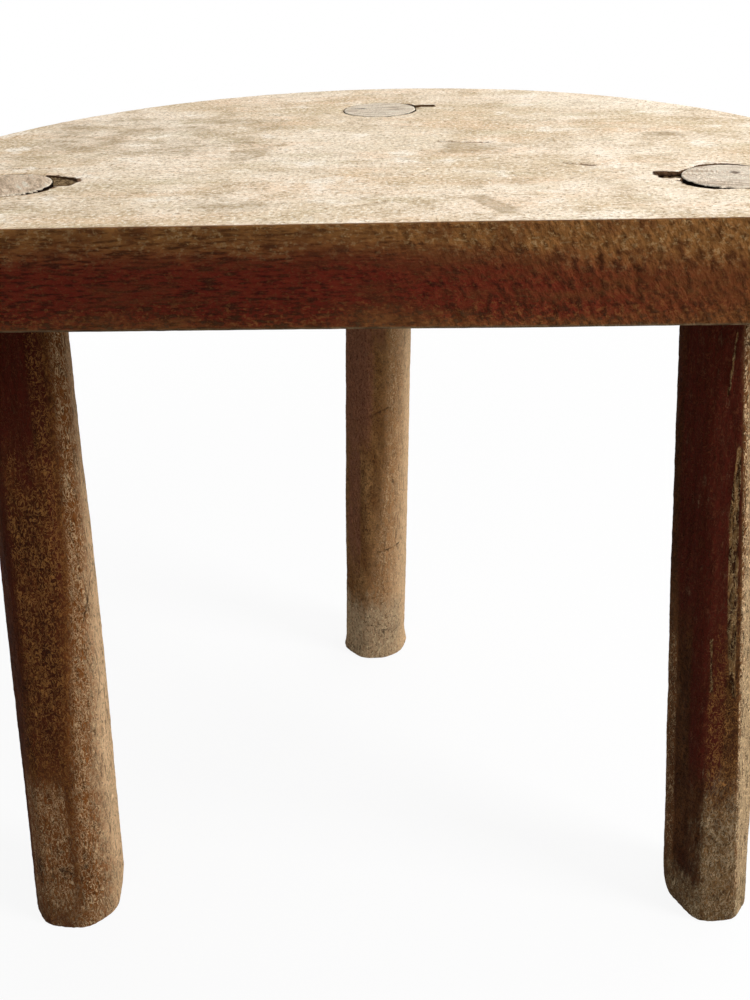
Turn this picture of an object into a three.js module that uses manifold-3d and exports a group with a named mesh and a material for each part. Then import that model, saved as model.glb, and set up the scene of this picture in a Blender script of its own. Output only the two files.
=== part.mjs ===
import * as THREE from 'three';
import { mergeVertices } from 'three/addons/utils/BufferGeometryUtils.js';
import Module from 'manifold-3d';

// A milking stool of weathered wood. The seat is a thick plank with a straight front edge
// and a round back. Three hewn legs splay out from it, and their round upper ends, the
// tenons, come right up through the seat. A small wedge beside each tenon locks it.
// Millimetres, +Z up. The origin is on the floor under the middle of the seat, and the
// straight front edge faces -Y.

// Seat plank
const seatTopHeight = 312;
const seatThickness = 35;
const roundBackRadius = 184;
const roundCentreToFront = 69;
const frontCornerRadius = 9;
const seatArrisWear = 1.6;

// Leg ends in the seat
const tenonRadius = 16.6;
const tenonEndWear = 0.8;
const fitGap = 0.3;

// Wedges beside the tenons
const wedgeTipReach = 1.5;
const woodUnderWedge = 8;

// Legs: circles round the hewn feet, and how much fuller the legs are halfway up
const leftFootRadius = 20.3;
const rightFootRadius = 18.1;
const backFootRadius = 18;
const legBelly = 0.7;
const legArrisWear = 0.5;
const footEdgeWear = 4;
const shoulderLength = 2.5;

// Cutting shapes reach this far past what they cut, and points this near are welded
const cutOverrun = 1;
const weldDistance = 1e-4;

// Fineness of the faceted solids
const legSides = 48;
const backSteps = 60;
const cornerSteps = 6;
const wearSteps = 3;
const legSpans = 4;

// Each leg: where its tenon stands round the back's centre in degrees and how far in from
// the rim, how the foot is kicked out along X and Y in degrees, the circle round the hewn
// foot, the arrises between the hewn facets in degrees, its wedge, and the gap worn beside
// the tenon. A wedge lies towards +X or -X of the tenon. Its outline goes round the wedge,
// each point by its reach beyond the tenon and its place across, and its top has sunk below
// the seat. A gap has its bearing from the tenon, its widest reach, and its curve's radius.
const legs = [
  {
    name: 'left',
    tenonBearing: 183.5,
    rimToTenon: 54.4,
    kickX: -0.5,
    kickY: -6.1,
    footRadius: leftFootRadius,
    arrises: [-165, -120, -64, -24, 20, 65, 110, 152],
    wedge: {
      towardsX: 1,
      sunk: 3,
      outline: [[-7, -3.4], [8.2, -2.8], [9, 2], [7.2, 7.4], [2, 10.6], [-5.5, 13.8]],
    },
    gap: { bearing: -30, reach: 3.4, radius: 8 },
  },
  {
    name: 'right',
    tenonBearing: -6.4,
    rimToTenon: 53.9,
    kickX: 2.0,
    kickY: -3.2,
    footRadius: rightFootRadius,
    arrises: [-176, -112, -57, -12, 33, 80, 128],
    wedge: {
      towardsX: -1,
      sunk: 4.5,
      outline: [[-7, -1.6], [6.9, -1.6], [6.9, 7], [-7, 7]],
    },
    gap: { bearing: 222, reach: 3.4, radius: 12 },
  },
  {
    name: 'back',
    tenonBearing: 89.5,
    rimToTenon: 57.6,
    kickX: -2.4,
    kickY: 3.4,
    footRadius: backFootRadius,
    arrises: [-155, -110, -68, -33, 10, 58, 105, 152],
    wedge: {
      towardsX: 1,
      sunk: 3,
      outline: [[-7, 3.8], [9.3, 4], [9.1, 7.7], [-7, 8.6]],
    },
    gap: { bearing: -42, reach: 1.6, radius: 13 },
  },
];

// Places worked out from the sizes
const seatDepth = roundBackRadius + roundCentreToFront;
const frontY = -seatDepth / 2;
const roundCentreY = frontY + roundCentreToFront;
const seatUnderside = seatTopHeight - seatThickness;
const mortiseRadius = tenonRadius + fitGap;

const radians = THREE.MathUtils.degToRad;

const wasm = await Module();
wasm.setup();

// A closed mesh made a solid that can be cut
function solidFrom(geometry) {
  const bare = geometry.clone();
  bare.deleteAttribute('normal');
  bare.deleteAttribute('uv');
  const merged = mergeVertices(bare, weldDistance);
  return new wasm.Manifold(new wasm.Mesh({
    numProp: 3,
    vertProperties: new Float32Array(merged.attributes.position.array),
    triVerts: new Uint32Array(merged.index.array),
  }));
}

function geometryFrom(solid) {
  const mesh = solid.getMesh();
  const geometry = new THREE.BufferGeometry();
  geometry.setAttribute('position', new THREE.BufferAttribute(mesh.vertProperties, 3));
  geometry.setIndex(new THREE.BufferAttribute(mesh.triVerts, 1));
  geometry.computeVertexNormals();
  return geometry;
}

function arcPoints(x, y, radius, from, to, steps) {
  const points = [];
  for (let i = 0; i <= steps; i++) {
    const angle = from + (to - from) * i / steps;
    points.push(new THREE.Vector2(x + radius * Math.cos(angle), y + radius * Math.sin(angle)));
  }
  return points;
}

// Straight front, two small round corners and the round back, all tangent
function seatOutline() {
  const cornerY = frontY + frontCornerRadius;
  const rise = cornerY - roundCentreY;
  const cornerX = Math.sqrt((roundBackRadius - frontCornerRadius) ** 2 - rise ** 2);
  const joinAngle = Math.atan2(rise, cornerX);
  const turn = joinAngle + Math.PI / 2;
  const farAngle = Math.PI - joinAngle;
  const right = arcPoints(cornerX, cornerY, frontCornerRadius, joinAngle - turn, joinAngle, cornerSteps);
  const back = arcPoints(0, roundCentreY, roundBackRadius, joinAngle, farAngle, backSteps);
  const left = arcPoints(-cornerX, cornerY, frontCornerRadius, farAngle, farAngle + turn, cornerSteps);
  return new THREE.Shape([...right, ...back.slice(1, -1), ...left]);
}

function seatPlank() {
  const plank = new THREE.ExtrudeGeometry(seatOutline(), {
    depth: seatThickness - 2 * seatArrisWear,
    bevelThickness: seatArrisWear,
    bevelSize: seatArrisWear,
    bevelOffset: -seatArrisWear,
    bevelSegments: wearSteps,
  });
  plank.translate(0, 0, seatUnderside + seatArrisWear);
  return solidFrom(plank);
}

// How far a leg's axis moves sideways for each millimetre of height
function lean(leg) {
  return new THREE.Vector2(-Math.tan(radians(leg.kickX)), -Math.tan(radians(leg.kickY)));
}

function tenonPlace(leg) {
  const bearing = radians(leg.tenonBearing);
  const reach = roundBackRadius - leg.rimToTenon;
  return new THREE.Vector2(reach * Math.cos(bearing), roundCentreY + reach * Math.sin(bearing));
}

function footPlace(leg) {
  return tenonPlace(leg).addScaledVector(lean(leg), -seatTopHeight);
}

// Slides each level of an upright shape sideways so that it follows the leg's axis
function leanWith(geometry, leg) {
  const slope = lean(leg);
  const place = geometry.attributes.position;
  for (let i = 0; i < place.count; i++) {
    const height = place.getZ(i);
    place.setX(i, place.getX(i) + slope.x * height);
    place.setY(i, place.getY(i) + slope.y * height);
  }
  return geometry;
}

// Radius of the hewn section: flats between neighbouring arrises, whose points are worn back
function hewnRadius(leg, angle, fullRadius) {
  const count = leg.arrises.length;
  for (let i = 0; i < count; i++) {
    const from = radians(leg.arrises[i]);
    const to = i + 1 < count ? radians(leg.arrises[i + 1]) : radians(leg.arrises[0] + 360);
    const past = THREE.MathUtils.euclideanModulo(angle - from, 2 * Math.PI);
    const half = (to - from) / 2;
    if (past <= 2 * half) {
      const flat = fullRadius * Math.cos(half) / Math.cos(past - half);
      return Math.min(flat, fullRadius - legArrisWear);
    }
  }
  return fullRadius;
}

// Levels up a leg. The share hewn is 1 on the facets and 0 on the round tenon.
function legLevels(leg) {
  const hewnTop = seatUnderside - fitGap - shoulderLength;
  const radiusAt = (height) => (
    THREE.MathUtils.lerp(leg.footRadius, tenonRadius, height / seatTopHeight)
    + legBelly * Math.sin(Math.PI * height / hewnTop)
  );
  const levels = [{ height: 0, radius: 0, hewn: 1 }];
  for (let i = 0; i <= wearSteps; i++) {
    const turn = i / wearSteps * Math.PI / 2;
    const height = footEdgeWear * (1 - Math.cos(turn));
    const radius = radiusAt(height) - footEdgeWear * (1 - Math.sin(turn));
    levels.push({ height, radius, hewn: 1 });
  }
  for (let i = 1; i <= legSpans; i++) {
    const height = THREE.MathUtils.lerp(footEdgeWear, hewnTop, i / legSpans);
    levels.push({ height, radius: radiusAt(height), hewn: 1 });
  }
  levels.push({ height: seatUnderside - fitGap, radius: tenonRadius, hewn: 0 });
  levels.push({ height: seatTopHeight - tenonEndWear, radius: tenonRadius, hewn: 0 });
  levels.push({ height: seatTopHeight, radius: tenonRadius - tenonEndWear, hewn: 0 });
  levels.push({ height: seatTopHeight, radius: 0, hewn: 0 });
  return levels;
}

// A leg with its foot at the origin
function legGeometry(leg) {
  const levels = legLevels(leg);
  const profile = levels.map((level) => new THREE.Vector2(level.radius, level.height));
  const geometry = new THREE.LatheGeometry(profile, legSides);
  geometry.rotateX(Math.PI / 2);
  const place = geometry.attributes.position;
  for (let i = 0; i < place.count; i++) {
    const level = levels[i % levels.length];
    const angle = Math.atan2(place.getY(i), place.getX(i));
    const facet = level.radius > 0 ? hewnRadius(leg, angle, level.radius) / level.radius : 1;
    const share = THREE.MathUtils.lerp(1, facet, level.hewn);
    place.setX(i, place.getX(i) * share);
    place.setY(i, place.getY(i) * share);
  }
  return geometryFrom(solidFrom(leanWith(geometry, leg)));
}

// A round bar that follows the leg's axis from below the seat to above it
function axisBar(leg, radius) {
  const length = seatThickness + 2 * cutOverrun;
  const bar = new THREE.CylinderGeometry(radius, radius, length, legSides);
  bar.rotateX(Math.PI / 2);
  bar.translate(0, 0, seatUnderside - cutOverrun + length / 2);
  return placedSolid(leanWith(bar, leg), footPlace(leg));
}

// What is worn away beside the tenon, as a round bar that reaches past the hole on one side
function wornGap(leg) {
  const { bearing, reach, radius } = leg.gap;
  const away = mortiseRadius + reach - radius;
  const angle = radians(bearing);
  return axisBar(leg, radius).translate([away * Math.cos(angle), away * Math.sin(angle), 0]);
}

function placedSolid(geometry, place) {
  geometry.translate(place.x, place.y, 0);
  return solidFrom(geometry);
}

// The wedge's outline round the tenon's centre, with every side moved out by a clearance
function wedgeOutline(leg, clearance) {
  const side = leg.wedge.towardsX;
  const corners = leg.wedge.outline.map(([reach, across]) => (
    new THREE.Vector2(side * (tenonRadius + reach), across)
  ));
  if (side < 0) corners.reverse();
  const grown = corners.map((corner, i) => {
    const before = corners[(i + corners.length - 1) % corners.length];
    const after = corners[(i + 1) % corners.length];
    const sideIn = corner.clone().sub(before).normalize();
    const sideOut = after.clone().sub(corner).normalize();
    const outwards = new THREE.Vector2(sideIn.y + sideOut.y, -sideIn.x - sideOut.x).normalize();
    const slant = outwards.dot(new THREE.Vector2(sideIn.y, -sideIn.x));
    return corner.clone().addScaledVector(outwards, clearance / slant);
  });
  return new THREE.Shape(grown);
}

// A tapered block along the leg's axis, from the given level down, with its full section
// level with the seat's top
function wedgeBlock(leg, clearance, top) {
  const reach = Math.max(...leg.wedge.outline.map(([out]) => out));
  const tipShare = (tenonRadius + wedgeTipReach) / (tenonRadius + reach);
  const tip = seatUnderside + woodUnderWedge;
  const bottom = tip - clearance;
  const block = new THREE.ExtrudeGeometry(wedgeOutline(leg, clearance), {
    depth: top - bottom,
    bevelEnabled: false,
  });
  block.translate(0, 0, bottom);
  const place = block.attributes.position;
  for (let i = 0; i < place.count; i++) {
    const share = THREE.MathUtils.mapLinear(place.getZ(i), tip, seatTopHeight, tipShare, 1);
    place.setX(i, place.getX(i) * share);
    place.setY(i, place.getY(i) * share);
  }
  return placedSolid(leanWith(block, leg), footPlace(leg));
}

function wedgeGeometry(leg) {
  const block = wedgeBlock(leg, 0, seatTopHeight - leg.wedge.sunk);
  return geometryFrom(block.subtract(axisBar(leg, mortiseRadius)));
}

function seatGeometry() {
  let seat = seatPlank();
  for (const leg of legs) {
    seat = seat.subtract(axisBar(leg, mortiseRadius));
    seat = seat.subtract(wornGap(leg));
    seat = seat.subtract(wedgeBlock(leg, fitGap, seatTopHeight + cutOverrun));
  }
  return geometryFrom(seat);
}

function wood(colour, roughness) {
  return new THREE.MeshStandardMaterial({ color: colour, roughness, metalness: 0 });
}

function namedMesh(name, geometry, material) {
  const mesh = new THREE.Mesh(geometry, material);
  mesh.name = name;
  return mesh;
}

const stool = new THREE.Group();
stool.add(namedMesh('seat', seatGeometry(), wood('#c2a888', 0.85)));

for (const leg of legs) {
  const foot = footPlace(leg);
  const post = namedMesh(`${leg.name}_leg`, legGeometry(leg), wood('#7a5536', 0.75));
  post.position.set(foot.x, foot.y, 0);
  stool.add(post);
  stool.add(namedMesh(`${leg.name}_wedge`, wedgeGeometry(leg), wood('#5d442f', 0.9)));
}

export default stool;
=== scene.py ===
import math
from types import SimpleNamespace

import bmesh
import bpy
from mathutils import Matrix, Vector, noise


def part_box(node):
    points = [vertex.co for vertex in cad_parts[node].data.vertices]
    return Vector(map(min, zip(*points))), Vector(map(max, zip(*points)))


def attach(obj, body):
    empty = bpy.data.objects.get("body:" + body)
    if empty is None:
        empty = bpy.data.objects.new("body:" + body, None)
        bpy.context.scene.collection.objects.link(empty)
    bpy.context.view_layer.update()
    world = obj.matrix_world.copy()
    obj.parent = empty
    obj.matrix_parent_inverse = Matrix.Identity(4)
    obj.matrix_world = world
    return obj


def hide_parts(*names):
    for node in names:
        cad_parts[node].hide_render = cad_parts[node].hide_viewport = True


bl_info = {
    "name": "Milking Stool",
    "version": (1, 0, 0),
    "blender": (4, 5, 0),
    "location": "View3D > Sidebar > Stool",
    "description": "Builds a weathered three-legged milking stool and its studio",
    "category": "Object",
}

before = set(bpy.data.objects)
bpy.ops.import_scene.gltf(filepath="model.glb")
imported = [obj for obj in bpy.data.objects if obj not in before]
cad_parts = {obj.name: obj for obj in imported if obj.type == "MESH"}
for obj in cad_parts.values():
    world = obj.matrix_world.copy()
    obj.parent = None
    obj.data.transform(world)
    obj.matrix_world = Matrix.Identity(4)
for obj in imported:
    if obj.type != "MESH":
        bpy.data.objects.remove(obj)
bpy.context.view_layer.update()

MM = 0.001
SEAT_LOW, SEAT_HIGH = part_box("seat")
SEAT_TOP = SEAT_HIGH.z
SEAT_UNDER = SEAT_LOW.z
BACK_RADIUS = (SEAT_HIGH.x - SEAT_LOW.x) / 2
BACK_CENTRE_Y = SEAT_HIGH.y - BACK_RADIUS
FRONT_Y = SEAT_LOW.y

# Seat: the round front corners, and how finely the plank's faces are stepped
CORNER_RADIUS = 9 * MM
FRONT_STEPS = 380
CORNER_STEPS = 10
BACK_STEPS = 260
TOP_RINGS = 66
UNDER_RINGS = 14
WALL_STEPS = 30
WEAR_STEPS = 4

# Legs: steps round, parts up and the steps in each, and rings of faces in their ends; the
# ledge under the seat, how far the edges are worn, how much fuller the legs are halfway up in
# millimetres, and a round foot's share of its circle; and the marks kept for the material
LEG_STEPS_ROUND = 180
LEG_PARTS = 3
PART_STEPS = 80
END_RINGS = 16
SHOULDER = 2.5 * MM
FOOT_WEAR = 0.9 * MM
LEG_ARRIS_WEAR = 0.5 * MM
TENON_END_WEAR = 0.4 * MM
LEG_BELLY = 0.7
ROUND_SHARE = 0.975
LEG_MARKS = ("stain", "bare", "dark", "frayed", "dusty", "nick", "scar")

# The spacing of the growth rings in the tenons' ends, drawn wide enough to show, and the
# wave texture's own spacing in metres at scale 1
GROWTH_RING = 1.7 * MM
WAVE_PERIOD = 0.314

# Holes in the seat
FIT_GAP = 0.3 * MM
HOLE_STEPS = 96
OVERRUN = 2 * MM
WOOD_UNDER_WEDGE = 8 * MM
WEDGE_TIP = 1.5 * MM

# What is known of each leg, with bearings in degrees about its axis and sizes in
# millimetres. Its hewn arrises have bearings at the foot, and turn as far as "twist" says by
# the seat. "soft" is how far each arris is rubbed round. "wedge" is the wedge's outline about
# the tenon's centre, "sunk" how far it lies below the seat's top, and "broken" how much
# further its near side has gone. "gaps" are worn beside the tenon, each with its bearing,
# reach and curve radius. "foot" is extra wear at the foot: bearing, half turn, reach, height.
# "splinters" stand out from the tenon's rim: bearing and length. "pith" is the middle of the
# tenon's growth rings, "heart" a dark check in its end with its half sizes, and "saw" the
# bearing of its saw marks. "bow" is how far the leg is bent halfway up, and "round_foot" how
# nearly its foot is worn round. The colours are the wood's dark and pale, the faded stain
# with its share, the bare wood's tan in shade and its paler tan as painted light, the greyed
# foot's with its share, and the sawn end's with its rings. "pitted" is how strongly pores and
# hairs show in the bare wood.
LEGS = {
    "left": {
        "arrises": (-165, -120, -64, -26, 20, 65, 110, 152),
        "twist": (0, 0, 2, 18, 0, 0, 0, 0),
        "bow": 0.4,
        "soft": 8,
        "wedge": ((9.6, -3.4), (25.2, -2.8), (26.6, 2.0), (24.4, 7.4), (18.6, 10.8), (11.1, 14.6)),
        "sunk": 0.7,
        "broken": 1.0,
        "gaps": ((-30, 3.5, 10.0),),
        "splinters": ((-24, 1.2), (-34, 2.2), (-41, 2.6), (-49, 1.4), (-55, 1.8), (-62, 0.9)),
        "foot": ((40, 62, 2.0, 14),),
        "pith": (-30, 24),
        "heart": (-9, 6, 2.5, 1.0),
        "saw": -62,
        "round_foot": 0.4,
        "wood": ("#3e1c0c", "#552b14"),
        "stain": ("#3f160b", 0.4),
        "bare": ("#7f4c23", "#ecc498"),
        "pitted": 0.65,
        "foot_wood": ("#7c5b3a", 0.5),
        "end": ("#fde4c8", "#d4b897"),
    },
    "right": {
        "arrises": (-176, -112, -56, -12, 33, 80, 128),
        "twist": (0, -10, -27, -12, 0, 0, 0),
        "bow": 0,
        "soft": 6,
        "wedge": ((-9.6, 7.0), (-24.8, 7.0), (-24.4, -1.6), (-9.6, -1.6)),
        "sunk": 1.6,
        "broken": 5.0,
        "gaps": ((226, 4.4, 11.0), (92, 1.6, 13.5), (165, 0.6, 13.0)),
        "splinters": ((228, 0.7), (247, 0.9)),
        "foot": ((-178, 80, 2.3, 15),),
        "pith": (2.5, 5),
        "heart": (2.5, 4.5, 2.0, 2.6),
        "saw": -17,
        "round_foot": 0.5,
        "wood": ("#3a1d0d", "#53331a"),
        "stain": ("#42160c", 0.3),
        "bare": ("#774f2e", "#bda37d"),
        "pitted": 0.9,
        "foot_wood": ("#786142", 0.65),
        "end": ("#fff0dc", "#e6c9aa"),
    },
    "back": {
        "arrises": (-155, -110, -68, -33, 10, 58, 105, 152),
        "twist": (0, 0, 0, 0, 0, 0, 0, 0),
        "bow": 0,
        "soft": 8,
        "wedge": ((9.6, 3.8), (25.9, 4.0), (25.7, 7.7), (9.6, 8.6)),
        "sunk": 1.2,
        "broken": 0.5,
        "gaps": ((-42, 1.6, 13.0), (33, 1.4, 8.0)),
        "splinters": ((-36, 0.7),),
        "foot": ((120, 50, 2, 8), (-60, 170, -1.6, 11)),
        "pith": (14, -34),
        "heart": (-9, 2.5, 4.2, 1.3),
        "saw": 0,
        "round_foot": 0.2,
        "wood": ("#744d2b", "#946d44"),
        "stain": ("#845840", 0.9),
        "bare": ("#9f754d", "#d8b38a"),
        "pitted": 0.5,
        "foot_wood": ("#ac9273", 0.8),
        "end": ("#fff2de", "#e8cdac"),
    },
}

# How the side towards the light is painted: partly stain worn bare, partly painted light that
# grows paler as the leg turns to the lamp. Rows of height, the bearings where it begins and is
# full, and its strength there
LEG_BARE_AND_LIT = {
    "left": (
        (0, -110, -8, 1.0), (20, -94, -4, 1.0), (40, -98, -10, 1.0), (80, -88, -12, 1.0),
        (167, -62, 2, 1.0),
        (232, -58, 4, 0.8), (280, -60, 4, 0.65),
    ),
    "right": (
        (0, -59, -51, 0.85), (85, -66, -58, 0.85), (125, -70, -62, 0.85), (165, -73, -64, 0.8),
        (203, -78, -67, 0.7), (280, -88, -74, 0.6),
    ),
    "back": (
        (0, -125, -25, 1.0), (40, -128, -25, 1.0), (90, -108, -22, 1.0), (135, -92, -22, 1.0),
        (280, -86, -26, 1.0),
    ),
}

# Where each leg is stained, bare, darkened, frayed or dusty: bearing, height, half turn, half
# height and strength
LEG_PATCHES = {
    "left": {
        "stain": (
            (-88, 262, 46, 40, 1.0), (-84, 222, 15, 26, 1.0), (-98, 100, 22, 30, 0.35),
            (-120, 255, 26, 50, 1.0), (-96, 60, 16, 40, 0.4),
            (-56, 190, 5, 50, 0.7), (130, 220, 44, 66, 0.9), (60, 268, 30, 34, 0.6),
            (150, 90, 24, 50, 0.6), (-118, 190, 8, 60, 0.6),
        ),
        "bare": ((-112, 40, 42, 42, 0.36), (80, 70, 30, 90, 0.6), (165, 150, 26, 60, 0.45)),
        "dark": (
            (-93, 28, 17, 5, 0.6), (-130, 27, 11, 8, 0.8), (-58, 30, 7, 9, 0.75),
            (-145, 130, 22, 140, 0.4), (170, 40, 30, 20, 0.7), (12, 60, 5, 8, 0.5),
        ),
        "frayed": (
            (-84, 150, 34, 74, 1.0), (-46, 150, 20, 190, 1.0), (-80, 50, 56, 70, 0.85),
            (0, 150, 30, 190, 0.6), (120, 140, 60, 140, 0.7), (-60, 250, 10, 40, 0.7),
        ),
        "dusty": ((-60, 4, 110, 22, 0.5),),
    },
    "right": {
        "stain": (
            (-118, 215, 48, 88, 1.0), (-108, 118, 26, 56, 0.9), (-150, 250, 30, 40, 0.6),
            (110, 230, 50, 60, 0.9), (30, 262, 30, 30, 0.5), (-100, 76, 8, 34, 0.4),
        ),
        "bare": ((-172, 80, 16, 80, 0.3), (50, 60, 40, 90, 0.6), (150, 180, 20, 50, 0.4)),
        "dark": ((-140, 24, 24, 20, 0.3), (140, 60, 30, 40, 0.6)),
        "frayed": (
            (-84, 60, 24, 74, 0.9), (-40, 130, 34, 190, 0.9), (60, 140, 60, 140, 0.6),
            (-86, 124, 14, 24, 0.6),
        ),
        "dusty": ((-82, 14, 30, 58, 0.75), (-104, 10, 24, 60, 0.35), (-60, 4, 130, 20, 0.7)),
    },
    "back": {
        "stain": (
            (-126, 205, 36, 76, 0.9), (-132, 110, 18, 60, 0.75), (-92, 225, 22, 36, 0.8),
            (120, 225, 50, 60, 0.9), (60, 110, 24, 60, 0.6),
        ),
        "bare": ((60, 90, 34, 80, 0.6), (160, 60, 30, 60, 0.5)),
        "dark": (
            (-78, 182, 9, 10, 0.5), (-60, 18, 26, 3, 0.6), (90, 30, 40, 16, 0.6),
            (-60, 165, 7, 8, 0.5),
        ),
        "frayed": (
            (-66, 190, 40, 90, 0.7), (-50, 60, 60, 90, 0.4), (60, 140, 60, 140, 0.6),
        ),
        "dusty": ((-102, 4, 80, 40, 0.85), (120, 4, 90, 40, 0.85)),
    },
}

# Nicks across the legs: bearing and height of both ends, half width and depth
LEG_NICKS = {
    "left": (
        (-96, 29, -80, 27, 1.0, 0.4), (-30, 140, -6, 158, 0.9, 0.3), (-24, 100, -8, 112, 0.8, 0.3),
    ),
    "right": ((-96, 12, -70, 16, 0.8, 0.3), (-96, 44, -84, 40, 0.7, 0.3)),
    "back": (
        (-104, 156, -68, 161.5, 0.6, 0.36), (-83, 72.5, -40, 75, 0.6, 0.36),
        (-60, 119, -52, 114, 0.9, 0.3), (-104, 23, -84, 22, 0.7, 0.3), (-70, 19, -40, 17, 0.7, 0.3),
    ),
}

# Torn scars: bearing, height and half width along each of their strands
LEG_SCARS = {
    "left": (),
    "right": (
        (
            (-80, 217, 0.9), (-81, 206, 1.8), (-83, 190, 2.3), (-81, 172, 2.5), (-80, 155, 2.5),
            (-79, 140, 2.4), (-76, 122, 1.7), (-73, 112, 0.8),
        ),
        ((-105, 138, 0.6), (-103, 114, 0.6)),
        ((-88, 261, 0.4), (-93, 246, 0.6), (-96, 237, 0.4)),
    ),
    "back": (),
}
SCAR_DEPTH = 0.7

# Dents and scratches on the seat's top, in millimetres: both ends, half width and depth
TOP_DENTS = (
    (28, -5, 48, -9, 1.0, 0.6), (44, -7, 62, -9, 0.9, 0.2), (74, -47, 84, -53, 0.9, 0.4),
    (81, -50, 85, -52, 1.3, 0.6), (50, 24, 62, 14, 0.6, 0.25), (20, -62, 26, -52, 0.8, 0.3),
    (-24, 1, -18, 0, 0.9, 0.3), (-141, -39, -121, -40, 0.9, 0.35), (-91, -72, -71, -87, 0.7, 0.25),
    (-3, -105, 11, -99, 1.0, 0.3), (113, 1, 119, -1, 1.2, 0.25), (95, 60, 101, 57, 0.8, 0.3),
    (-60, 70, -52, 69, 0.8, 0.3),
)

# Stains on the seat's top, in millimetres: centre, half length, half width, turn in degrees
# and strength
TOP_STAINS = (
    (44, -20, 15, 13, -12, 0.75), (46, -104, 14, 5, -62, 0.85), (118, 0, 9, 5, 0, 0.8),
    (-72, -9, 42, 20, -20, 0.6), (-44, -99, 17, 12, -40, 0.6), (-50, 45, 13, 9, 0, 0.6),
    (56, -76, 9, 8, 0, 0.55), (5, -102, 16, 4, 10, 0.5), (-100, 30, 40, 9, 5, 0.45),
    (-100, -84, 30, 12, -20, 0.45), (78, -52, 12, 7, -30, 0.45), (-95, 20, 60, 50, 0, 0.62),
    (-130, -95, 26, 10, -10, 0.5), (130, 40, 16, 20, 0, 0.3),
)

# Pale places on the seat's top, told as its stains are
TOP_PALE = (
    (4, 0, 34, 24, 0, 0.9), (112, 70, 40, 20, 0, 0.8), (100, -30, 26, 8, 0, 0.7),
    (-35, -60, 30, 9, 0, 0.6), (30, -60, 30, 8, 0, 0.6),
)

# Camera: place in millimetres, turns in degrees, focal length and centre in the picture's
# pixels
CAMERA_PLACE = (29.9, -466.8, 408.7)
CAMERA_PITCH = 22.41
CAMERA_YAW = 4.14
CAMERA_ROLL = 2.08
FOCAL_PIXELS = 1142.0
CENTRE_PIXEL = (367.4, 356.2)
PICTURE = (750, 1000)

# Lamps: place and side in metres, power in watts
LAMPS = {
    "key_from_the_right": ((1.30, -0.50, 0.95), 0.5, 23),
    "sky_above": ((0.60, 0.45, 1.5), 1.2, 11),
    "front_fill": ((-0.5, -1.7, 0.8), 1.4, 4.5),
    "back_fill": ((-0.6, 1.7, 0.4), 0.6, 4.5),
}


def linear(hex_colour):
    """An sRGB hex colour as linear red, green, blue and alpha."""
    parts = [int(hex_colour[i:i + 2], 16) / 255 for i in (1, 3, 5)]
    return [p / 12.92 if p <= 0.04045 else ((p + 0.055) / 1.055) ** 2.4 for p in parts] + [1.0]


# Modelling helpers

def start(name, primitive, **settings):
    """Deselects everything, adds a primitive and gives it a name."""
    bpy.ops.object.select_all(action="DESELECT")
    primitive(**settings)
    piece = bpy.context.object
    piece.name = name
    piece.data.name = name
    return piece


def start_face(name, corners, radius):
    """Starts a piece as a flat face with many corners, on the floor."""
    return start(
        name, bpy.ops.mesh.primitive_circle_add, vertices=corners, radius=radius,
        fill_type="NGON", location=(0, 0, 0),
    )


def make_active(piece):
    bpy.ops.object.select_all(action="DESELECT")
    bpy.context.view_layer.objects.active = piece
    piece.select_set(True)


def edit(piece):
    make_active(piece)
    bpy.ops.object.mode_set(mode="EDIT")


def leave_edit():
    bpy.ops.object.mode_set(mode="OBJECT")


def select(kind, wanted):
    """Selects the verts, edges or faces of the mesh in edit mode that are wanted."""
    bpy.ops.mesh.select_mode(type={"verts": "VERT", "edges": "EDGE", "faces": "FACE"}[kind])
    bpy.ops.mesh.select_all(action="DESELECT")
    mesh = bpy.context.edit_object.data
    shape = bmesh.from_edit_mesh(mesh)
    for item in getattr(shape, kind):
        if wanted(item):
            item.select_set(True)
    bmesh.update_edit_mesh(mesh)


def near(a, b):
    return abs(a - b) < 0.01 * MM


def level_edge(height):
    """A test for edges that lie at one height."""
    return lambda edge: near(edge.verts[0].co.z, height) and near(edge.verts[1].co.z, height)


def end_face(height):
    """A test for the many-sided face at one height."""
    return lambda face: len(face.verts) > 4 and near(face.calc_center_median().z, height)


def upright_edge(least):
    """A test for edges that rise by at least so much."""
    return lambda edge: abs(edge.verts[0].co.z - edge.verts[1].co.z) > least


def raise_selection(height):
    bpy.ops.mesh.extrude_region_move(TRANSFORM_OT_translate={"value": (0, 0, height)})


def pull(piece, height):
    """Goes into edit mode and pulls a flat face up, or down, into a block."""
    edit(piece)
    bpy.ops.mesh.select_all(action="SELECT")
    raise_selection(height)


def resize_level(share, height):
    bpy.ops.transform.resize(value=(share, share, 1), center_override=(0, 0, height))


def bevel(offset, segments):
    bpy.ops.mesh.bevel(offset=offset, segments=segments, affect="EDGES", clamp_overlap=False)


def ring_to_pole(height, rings):
    """Turns the selected end face into rings that close on its middle."""
    for ring in range(rings, 1, -1):
        bpy.ops.mesh.extrude_region()
        resize_level((ring - 1) / ring, height)
    bpy.ops.mesh.extrude_region()
    bpy.ops.mesh.merge(type="CENTER")


def face_outwards():
    bpy.ops.mesh.select_all(action="SELECT")
    bpy.ops.mesh.normals_make_consistent(inside=False)


def apply_modifiers(piece):
    make_active(piece)
    for modifier in list(piece.modifiers):
        bpy.ops.object.modifier_apply(modifier=modifier.name)


def combine(piece, other, operation):
    """Joins or cuts a piece with another, and deletes the other."""
    boolean = piece.modifiers.new(operation, "BOOLEAN")
    boolean.operation = operation
    boolean.solver = "EXACT"
    boolean.object = other
    apply_modifiers(piece)
    bpy.data.objects.remove(other, do_unlink=True)
    if not piece.data.polygons:
        raise RuntimeError(f"{operation} left nothing of {piece.name}")


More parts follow.
